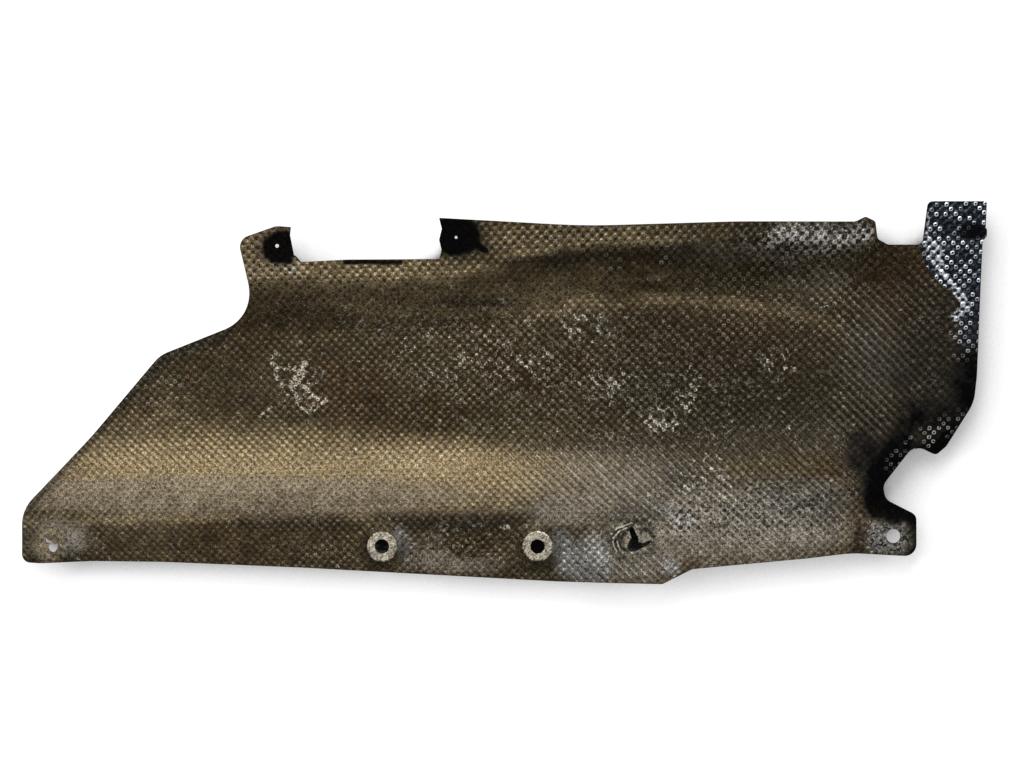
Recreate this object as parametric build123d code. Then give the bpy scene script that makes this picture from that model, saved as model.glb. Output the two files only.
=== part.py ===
from build123d import *
import math
import os

# Exhaust heat shield: one pressed sheet of aluminium. It lies on the floor of its pan, hollow side up.
# +X runs along the shield and +Z is up. The origin is under the middle of its box.

# Overall box of the outline, in mm
LENGTH = 580.0
WIDTH = 230.0
LEFT, RIGHT = -LENGTH / 2, LENGTH / 2
BOTTOM, TOP = -WIDTH / 2, WIDTH / 2

# Sheet and pan: a long trough, open at the left and closed by a rounded wall at the right
GAUGE = 0.8
PAN_DEPTH = 18.0
FLANGE_TOP = PAN_DEPTH + GAUGE
LOWER_WALL = 56.0
UPPER_WALL = 30.0
LIP_SHARE = 0.06
PAN_END_WALL = 96.0
PAN_END_SECTIONS = 8
END_FLANGE = 14.0
PAN_END_X = RIGHT - END_FLANGE
TROUGH_END_X = PAN_END_X - PAN_END_WALL
LOWER_PINCH = 22.0
UPPER_PINCH = 14.0

# Rim of the pan: where it bends, and its distance there from the box's lower and upper sides
LOWER_BEND_X = 88.0
LOWER_RIM_LEFT = 37.0
LOWER_RIM_BEND = 46.0
LOWER_RIM_RIGHT = 68.0
UPPER_BEND_X = (-30.0, 45.0)
UPPER_RIM_LEFT = 52.0
UPPER_RIM_BEND = (50.0, 29.0)
UPPER_RIM_RIGHT = 22.0

# Apron: the stretch of the lower flange that is tilted up, with a ramp at each end
APRON_TILT = 9.0
APRON_LEFT_X = 36.0
APRON_LEFT_RAMP = 14.0
APRON_RIGHT_X = 214.0
APRON_RIGHT_RAMP = 38.0

# Bolt seats: low round bosses with flat tops
SEAT_TOP_R = 9.0
SEAT_FOOT_R = 15.0
SEAT_RISE = 3.0
SEAT_EDGE_R = 1.4
HOLE_R = 4.2
SEAT_LINE_Y = BOTTOM + 22.6
SEAT_LINE_X = -73.6
SEAT_SPACING = 93.4
CORNER_SEAT_X = LEFT + 18.6
CORNER_SEAT_Y = BOTTOM + 22.2
EAR_SEAT_X = RIGHT - 56.5
EAR_SEAT_Y = BOTTOM + 28.8
TORN_SEAT_X = 76.6
TORN_SEAT_Y = BOTTOM + 26.5

# Torn metal: corners measured from the middle of their seat
TEAR = (
    (-0.5, 8.2), (0.8, 7.5), (2.2, 4.1), (3.5, 1.5), (3.8, -1.2), (6.5, -1.9), (9.8, -0.5), (12.1, -0.8),
    (9.8, -2.5), (6.5, -4.2), (3.5, -6.2), (-0.2, -6.9), (-2.2, -6.2), (-2.9, -3.8), (-1.6, -0.5),
    (-0.2, 1.1), (-0.8, 3.2), (-1.9, 5.5),
)
CORNER_HOLE = (
    (-2.4, 1.2), (-0.6, 1.5), (3.3, 1.8), (3.0, -0.6), (1.8, -2.4), (0.3, -3.0), (-1.2, -2.4), (-2.4, -0.6),
)
CORNER_CRACK = ((-4.2, 6.3), (-2.7, 4.2), (0.0, 3.4), (-0.3, 2.7), (-3.0, 2.5), (-3.9, 3.6))

# Pinholes in the sooty ends of the two upper tabs, measured from the corner of each tab
LEFT_PINHOLE = (-14.4, -11.7)
LEFT_PINHOLE_R = 1.1
RIGHT_PINHOLE = (10.0, -9.6)
RIGHT_PINHOLE_R = 0.9

# Outline: places that its runs are measured from
NOTCH_LEFT_X = LEFT + 167.7
NOTCH_RIGHT_X = LEFT + 250.9
NOTCH_FLOOR_Y = TOP - 35.6
LEFT_TAB_Y = TOP - 15.2
UPPER_EDGE_X = RIGHT - 64.5
UPPER_EDGE_Y = TOP - 12.2
RIGHT_TAB_X = RIGHT - 35.5
SIDE_NOTCH_Y = TOP - 26.1
EAR_X = RIGHT - 42.4
EAR_Y = BOTTOM + 40.2

# Runs of the outline, clockwise: each corner's x and y from its run's place, and its radius
LEFT_END = (
    (0.0, 12.9, 7.0), (0.0, 45.0, 21.0), (40.9, 88.9, 200.0), (81.8, 137.5, 20.0), (140.7, 161.0, 26.0),
)
LEFT_TAB = (
    (-38.0, -7.8, 7.0), (-15.0, 0.3, 8.0), (-6.0, -0.3, 0.6), (-6.6, -5.2, 0.0), (-4.2, -17.2, 0.0),
    (-3.0, -17.8, 0.0), (0.0, -21.4, 1.0),
)
NOTCH = (
    (-55.0, 0.5, 60.0), (0.0, 0.8, 0.8), (1.2, 6.3, 0.0), (-0.2, 12.4, 0.0), (1.4, 19.0, 0.0),
    (-0.3, 25.6, 0.6),
)
UPPER_EDGE = (
    (-177.6, -2.6, 400.0), (-85.0, 0.1, 400.0), (-14.5, 0.0, 6.0), (-8.5, 3.0, 2.0), (-2.6, 0.2, 2.5),
)
SIDE_NOTCH = ((-30.2, 3.4, 3.0), (-24.0, 0.0, 4.0), (-3.4, 0.0, 4.0), (0.0, 26.1, 3.5))
RIGHT_SIDE = (
    (0.0, 0.0, 1.5), (-0.8, -16.0, 0.0), (0.0, -17.0, 0.6), (0.0, -21.0, 0.6), (-2.6, -24.0, 0.0),
    (-4.2, -60.0, 200.0), (-6.0, -104.5, 60.0), (-7.8, -121.1, 24.0), (-24.5, -147.4, 10.0),
    (-30.7, -152.6, 3.0),
)
EAR = (
    (2.6, 41.4, 6.0), (-3.4, 40.5, 6.0), (-20.1, 19.2, 7.0), (-18.6, 10.6, 7.0), (0.0, 1.2, 5.0),
    (0.0, -23.8, 7.0),
)
LOWER_EDGE = (
    (208.0, 18.5, 60.0), (182.0, 15.4, 60.0), (112.7, 9.0, 10.0), (94.7, 0.0, 5.0), (31.7, 1.4, 300.0),
)
LOWER_LEFT_EDGE = ((167.4, 9.8, 400.0), (85.0, 13.2, 400.0), (43.0, 13.7, 60.0), (11.0, 12.4, 40.0))
CORNER_ROOM = 0.45

# What tools and blanks reach past the sheet
MARGIN = 12.0
BELOW = 15.0
BURY = GAUGE / 2


def between(x, start, stop):
    """Share of the way from start to stop, kept from 0 to 1."""
    return min(max((x - start) / (stop - start), 0.0), 1.0)


def along(x, stations):
    """Value at x on straight runs between (x, value) stations, carried on past both ends."""
    pairs = list(zip(stations, stations[1:]))
    (x0, v0), (x1, v1) = next((pair for pair in pairs if x <= pair[1][0]), pairs[-1])
    return v0 + (v1 - v0) * (x - x0) / (x1 - x0)


def lower_rim(x):
    """Height in plan of the pan's lower rim."""
    stations = ((LEFT, LOWER_RIM_LEFT), (LOWER_BEND_X, LOWER_RIM_BEND), (RIGHT, LOWER_RIM_RIGHT))
    return BOTTOM + along(x, stations) + LOWER_PINCH * between(x, TROUGH_END_X, PAN_END_X) ** 2


def upper_rim(x):
    """Height in plan of the pan's upper rim."""
    bends = tuple(zip(UPPER_BEND_X, UPPER_RIM_BEND))
    stations = ((LEFT, UPPER_RIM_LEFT), *bends, (RIGHT, UPPER_RIM_RIGHT))
    return TOP - along(x, stations) - UPPER_PINCH * between(x, TROUGH_END_X, PAN_END_X) ** 2


def pan_depth(x):
    """Depth of the pan's floor under the flange: full along the trough, eased to nothing at its end."""
    share = between(x, TROUGH_END_X, PAN_END_X)
    return PAN_DEPTH * (1 - share**3 * (10 - 15 * share + 6 * share**2))


def wall_curves(x, rim, width, depth, flange_z):
    """Lip and wall in one section: two tangent parabolas from the flange to the floor."""
    lip = LIP_SHARE
    lip_depth = 2 * lip - lip**2

    def at(share, fall):
        return Vector(x, rim + share * width, flange_z - fall * depth)

    lip_curve = Bezier(at(-lip, 0), at(-(lip**2) / (2 - 2 * lip), 0), at(lip, lip_depth))
    wall_curve = Bezier(at(lip, lip_depth), at((1 + lip) / 2, 1), at(1, 1))
    return lip_curve, wall_curve


def form_section(x, inset):
    """Closed section of the pressed form at x, with its upper face set in by inset."""
    depth = pan_depth(x)
    flange_z = FLANGE_TOP - inset
    lower_shift = inset * math.tan(math.atan2(2 * depth, LOWER_WALL) / 2)
    upper_shift = inset * math.tan(math.atan2(2 * depth, UPPER_WALL) / 2)
    lower_lip, lower_wall = wall_curves(x, lower_rim(x) - lower_shift, LOWER_WALL, depth, flange_z)
    upper_lip, upper_wall = wall_curves(x, upper_rim(x) + upper_shift, -UPPER_WALL, depth, flange_z)
    front = Vector(x, BOTTOM - MARGIN, flange_z)
    back = Vector(x, TOP + MARGIN, flange_z)
    rest = Polyline(
        upper_lip @ 0, back, (x, TOP + MARGIN, -BELOW), (x, BOTTOM - MARGIN, -BELOW), front, lower_lip @ 0
    )
    floor = Line(lower_wall @ 1, upper_wall @ 1)
    return Wire([lower_lip, lower_wall, floor, upper_wall, upper_lip, *rest.edges()])


def pan_form(inset):
    """Solid under the pressed face: straight trough, rounded end and flat right flange."""
    trough_x = sorted((LEFT - MARGIN, LOWER_BEND_X, *UPPER_BEND_X, TROUGH_END_X))
    end_x = [TROUGH_END_X + PAN_END_WALL * i / PAN_END_SECTIONS for i in range(PAN_END_SECTIONS + 1)]
    trough = Solid.make_loft([form_section(x, inset) for x in trough_x], ruled=True)
    end = Solid.make_loft([form_section(x, inset) for x in end_x])
    flange = Solid.make_loft([form_section(x, inset) for x in (PAN_END_X, RIGHT + MARGIN)], ruled=True)
    return trough + end + flange


def apron_plane():
    """Plane of the tilted apron: it turns up about the lip along the rim's right run."""
    lip = LIP_SHARE * LOWER_WALL
    start = Vector(LOWER_BEND_X, lower_rim(LOWER_BEND_X) - lip, FLANGE_TOP)
    stop = Vector(TROUGH_END_X, lower_rim(TROUGH_END_X) - lip, FLANGE_TOP)
    crease = Plane(origin=start, x_dir=stop - start, z_dir=(0, 0, 1))
    return crease.rotated((-APRON_TILT, 0, 0))


def apron_form(inset):
    """Wedge that lifts the apron, between a long ramp at the left and a short one at the right."""
    front = BOTTOM - MARGIN
    base = FLANGE_TOP - inset - BURY
    face = apron_plane()
    reach = face.origin.Y - front + WIDTH / 2
    block = Pos((APRON_LEFT_X + APRON_RIGHT_X) / 2, front, base) * Box(
        APRON_RIGHT_X - APRON_LEFT_X + MARGIN, reach, reach, align=(Align.CENTER, Align.MIN, Align.MIN)
    )
    left = Plane((APRON_LEFT_X, 0, FLANGE_TOP), z_dir=(0, 0, 1)).rotated((0, -APRON_LEFT_RAMP, 0))
    right = Plane((APRON_RIGHT_X, 0, FLANGE_TOP), z_dir=(0, 0, 1)).rotated((0, APRON_RIGHT_RAMP, 0))
    for limit in (face, left, right):
        block = split(block, bisect_by=limit.offset(-inset), keep=Keep.BOTTOM)
    return block


def seat_form(place, inset):
    """Boss of a bolt seat on the flange at place, with its faces set in by inset."""
    run = SEAT_FOOT_R - SEAT_TOP_R
    shrink = inset * math.tan(math.atan2(SEAT_RISE, run) / 2)
    base_r = SEAT_FOOT_R - shrink + BURY * run / SEAT_RISE
    boss = Cone(base_r, SEAT_TOP_R - shrink, SEAT_RISE + BURY, align=(Align.CENTER, Align.CENTER, Align.MIN))
    boss = fillet(boss.edges().sort_by(Axis.Z)[-1], SEAT_EDGE_R)
    return place * Pos(0, 0, -inset - BURY) * boss


def seat_places():
    """Places of the five seats: corner, two on a line, ear, and the torn one on the apron."""
    flat = [
        (CORNER_SEAT_X, CORNER_SEAT_Y),
        (SEAT_LINE_X, SEAT_LINE_Y),
        (SEAT_LINE_X + SEAT_SPACING, SEAT_LINE_Y),
        (EAR_SEAT_X, EAR_SEAT_Y),
    ]
    apron = apron_plane()
    drop = Axis((TORN_SEAT_X, TORN_SEAT_Y, 0), (0, 0, 1))
    torn = Plane(origin=apron.intersect(drop), x_dir=apron.x_dir, z_dir=apron.z_dir)
    return [Pos(x, y, FLANGE_TOP) for x, y in flat] + [torn.location]


def pressed_form(inset):
    """Everything under the sheet's upper face (inset 0) or under its lower face (inset GAUGE)."""
    form = pan_form(inset) + apron_form(inset)
    for place in seat_places():
        form += seat_form(place, inset)
    return form


def outline():
    """Corners of the whole outline, clockwise from the lower left: x, y and radius."""
    runs = (
        (LEFT, BOTTOM, LEFT_END),
        (NOTCH_LEFT_X, LEFT_TAB_Y, LEFT_TAB),
        (NOTCH_RIGHT_X, NOTCH_FLOOR_Y, NOTCH),
        (UPPER_EDGE_X, UPPER_EDGE_Y, UPPER_EDGE),
        (RIGHT_TAB_X, SIDE_NOTCH_Y, SIDE_NOTCH),
        (RIGHT, TOP, RIGHT_SIDE),
        (EAR_X, EAR_Y, EAR),
        (0.0, BOTTOM, LOWER_EDGE),
        (LEFT, BOTTOM, LOWER_LEFT_EDGE),
    )
    return [(x + dx, y + dy, radius) for x, y, corners in runs for dx, dy, radius in corners]


def rounded(corners):
    """Closed face through the corners, each radius limited to what its two edges leave room for."""
    points = [Vector(x, y) for x, y, _ in corners]
    radii = []
    for i, (point, corner) in enumerate(zip(points, corners)):
        back = points[i - 1] - point
        ahead = points[(i + 1) % len(points)] - point
        turn = math.radians(180 - back.get_angle(ahead))
        room = CORNER_ROOM * min(back.length, ahead.length)
        radii.append(min(corner[2], room / math.tan(turn / 2)))
    return make_face(FilletPolyline(*points, radius=radii, close=True))


def torn_shape(corners, x, y):
    """Ragged opening through the given corners, about x and y."""
    return Pos(x, y) * make_face(Polyline(*corners, close=True))


def openings():
    """Plan of every hole: bolt holes, the half-covered corner hole, pinholes and tears."""
    return [
        Pos(SEAT_LINE_X, SEAT_LINE_Y) * Circle(HOLE_R),
        Pos(SEAT_LINE_X + SEAT_SPACING, SEAT_LINE_Y) * Circle(HOLE_R),
        Pos(EAR_SEAT_X, EAR_SEAT_Y) * Circle(HOLE_R),
        torn_shape(CORNER_HOLE, CORNER_SEAT_X, CORNER_SEAT_Y),
        torn_shape(CORNER_CRACK, CORNER_SEAT_X, CORNER_SEAT_Y),
        torn_shape(TEAR, TORN_SEAT_X, TORN_SEAT_Y),
        Pos(NOTCH_LEFT_X, LEFT_TAB_Y) * Pos(*LEFT_PINHOLE) * Circle(LEFT_PINHOLE_R),
        Pos(NOTCH_RIGHT_X, UPPER_EDGE_Y) * Pos(*RIGHT_PINHOLE) * Circle(RIGHT_PINHOLE_R),
    ]


def through(shape):
    """Plan shape raised through the whole height of the sheet."""
    height = 2 * (FLANGE_TOP + MARGIN + BELOW)
    return extrude(Pos(0, 0, -BELOW / 2) * shape, amount=height)


def heat_shield():
    """The sheet: what lies between its two faces, inside its outline and outside its holes."""
    sheet = (pressed_form(0.0) - pressed_form(GAUGE)) & through(rounded(outline()))
    for shape in openings():
        sheet -= through(shape)
    return sheet


os.makedirs("parts", exist_ok=True)
shield = heat_shield()
shield.label = "heat_shield"
export_step(shield, "parts/heat_shield.step")
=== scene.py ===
"""Exhaust heat shield: one embossed aluminium sheet, heat-stained, corroded and torn, on a pale floor."""
import logging
import math
from dataclasses import dataclass, field
from enum import Enum
from functools import reduce
from typing import Callable, Union

import bmesh
import bpy
import numpy as np
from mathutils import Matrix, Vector


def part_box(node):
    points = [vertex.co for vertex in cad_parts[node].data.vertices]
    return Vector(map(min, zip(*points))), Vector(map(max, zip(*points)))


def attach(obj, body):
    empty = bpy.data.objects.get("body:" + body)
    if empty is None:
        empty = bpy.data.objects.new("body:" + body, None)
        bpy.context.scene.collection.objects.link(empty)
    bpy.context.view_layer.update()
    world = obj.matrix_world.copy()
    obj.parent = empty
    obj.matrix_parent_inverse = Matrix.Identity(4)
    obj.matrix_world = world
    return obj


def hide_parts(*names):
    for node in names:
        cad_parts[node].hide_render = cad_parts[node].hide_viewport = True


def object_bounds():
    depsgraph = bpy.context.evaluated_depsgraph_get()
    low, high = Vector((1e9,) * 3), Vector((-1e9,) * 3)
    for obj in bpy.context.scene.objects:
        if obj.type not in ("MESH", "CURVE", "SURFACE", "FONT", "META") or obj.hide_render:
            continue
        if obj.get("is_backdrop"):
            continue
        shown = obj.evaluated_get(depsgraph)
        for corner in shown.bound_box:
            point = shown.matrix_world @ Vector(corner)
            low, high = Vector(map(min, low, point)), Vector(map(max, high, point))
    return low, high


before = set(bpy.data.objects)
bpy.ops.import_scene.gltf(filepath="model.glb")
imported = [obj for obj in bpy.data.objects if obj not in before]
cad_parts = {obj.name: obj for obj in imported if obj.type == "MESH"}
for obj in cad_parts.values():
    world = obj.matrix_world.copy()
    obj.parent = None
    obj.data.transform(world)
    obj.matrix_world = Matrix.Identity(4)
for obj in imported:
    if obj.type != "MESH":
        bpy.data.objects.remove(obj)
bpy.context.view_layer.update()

MM = 0.001
NODE = "heat_shield"
PIECE = "shield_sheet"

log = logging.getLogger("heat_shield")

Item = bpy.types.Object
Socket = bpy.types.NodeSocket
Value = Union[Socket, float, tuple]
Colour = tuple[float, float, float]
Pair = tuple[float, float]


class Face(Enum):
    """The two faces of the sheet, by the way they look."""

    UPPER = 1
    LOWER = -1


class Layer(Enum):
    """What lies on the metal, and where highlights and shade are painted on it, each kept as a value from 0
    to 1 on the sheet's points.
    """

    TAN = "tan"
    GREY = "grey"
    STEEL_AND_HIGHLIGHT = "steel_and_highlight"
    RUST = "rust"
    GRIME_AND_SHADE = "grime_and_shade"
    CRUST = "crust"
    WEB = "web"
    RIDGES = "ridges"
    GRIT = "grit"
    SPECKS = "specks"
    NUBS = "nubs"
    SEAT = "seat"
    SILVER = "silver"
    SOOT = "soot"
    DOTS = "dots"
    PITS = "pits"
    FOIL = "foil"
    EDGE = "edge"
    RELIEF = "relief"


@dataclass(frozen=True)
class PictureScale:
    """Plan of the sheet as the picture shows it: picture units to metres."""

    length_px: float = 965.0
    middle_px: Pair = (504.5, 392.5)
    frame_px: Pair = (1024.0, 768.0)

    @property
    def metres(self) -> float:
        """Metres on the sheet for one picture unit."""
        low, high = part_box(NODE)
        return (high.x - low.x) / self.length_px

    def place(self, px: float, py: float) -> Pair:
        """Point on the sheet's plan, in metres, of a place in picture units across and down."""
        return (px - self.middle_px[0]) * self.metres, (self.middle_px[1] - py) * self.metres

    def picture(self, points: np.ndarray) -> tuple[np.ndarray, np.ndarray]:
        """Picture units across and down of points, which are rows of x and y in metres."""
        x, y = self.middle_px
        return points[:, 0] / self.metres + x, y - points[:, 1] / self.metres

    def beside(self, points: np.ndarray, seat: Pair) -> tuple[np.ndarray, np.ndarray]:
        """Metres across and up to points from a seat's middle, which is in picture units."""
        x, y = self.place(*seat)
        return points[:, 0] - x, points[:, 1] - y

    def distance(self, points: np.ndarray, seat: Pair) -> np.ndarray:
        """Distance in plan from a seat's middle, in metres."""
        return np.hypot(*self.beside(points, seat))


SCALE = PictureScale()


def ease(value: np.ndarray, start: float, stop: float) -> np.ndarray:
    """Smooth step of each value from 0 at start to 1 at stop, which may be the lower one."""
    share = np.clip((value - start) / (stop - start), 0.0, 1.0)
    return share * share * (3.0 - 2.0 * share)


@dataclass(frozen=True)
class Patch:
    """A soft-edged oval of a layer, in picture units, with its turn in degrees."""

    centre: Pair
    radii: Pair
    strength: float = 1.0
    core: float = 0.3
    turn: float = 0.0

    def cover(self, x: np.ndarray, y: np.ndarray) -> np.ndarray:
        """How much of the layer lies at each point.

        Args:
            x: picture units across.
            y: picture units down.

        Returns:
            Values from 0 to the patch's strength.
        """
        angle = math.radians(self.turn)
        dx, dy = x - self.centre[0], y - self.centre[1]
        along = (dx * math.cos(angle) + dy * math.sin(angle)) / self.radii[0]
        across = (dy * math.cos(angle) - dx * math.sin(angle)) / self.radii[1]
        return self.strength * ease(np.hypot(along, across), 1.0, self.core)


@dataclass(frozen=True)
class Streak:
    """A soft-edged line of a layer through given points, in picture units."""

    points: tuple[Pair, ...]
    width: float
    strength: float = 1.0
    core: float = 0.3

    def cover(self, x: np.ndarray, y: np.ndarray) -> np.ndarray:
        """How much of the layer lies at each point.

        Args:
            x: picture units across.
            y: picture units down.

        Returns:
            Values from 0 to the streak's strength.
        """
        near = np.full_like(x, np.inf)
        for (x0, y0), (x1, y1) in zip(self.points, self.points[1:]):
            run, rise = x1 - x0, y1 - y0
            share = np.clip(((x - x0) * run + (y - y0) * rise) / (run * run + rise * rise), 0.0, 1.0)
            near = np.minimum(near, np.hypot(x - x0 - share * run, y - y0 - share * rise))
        return self.strength * ease(near, self.width, self.width * self.core)


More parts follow.
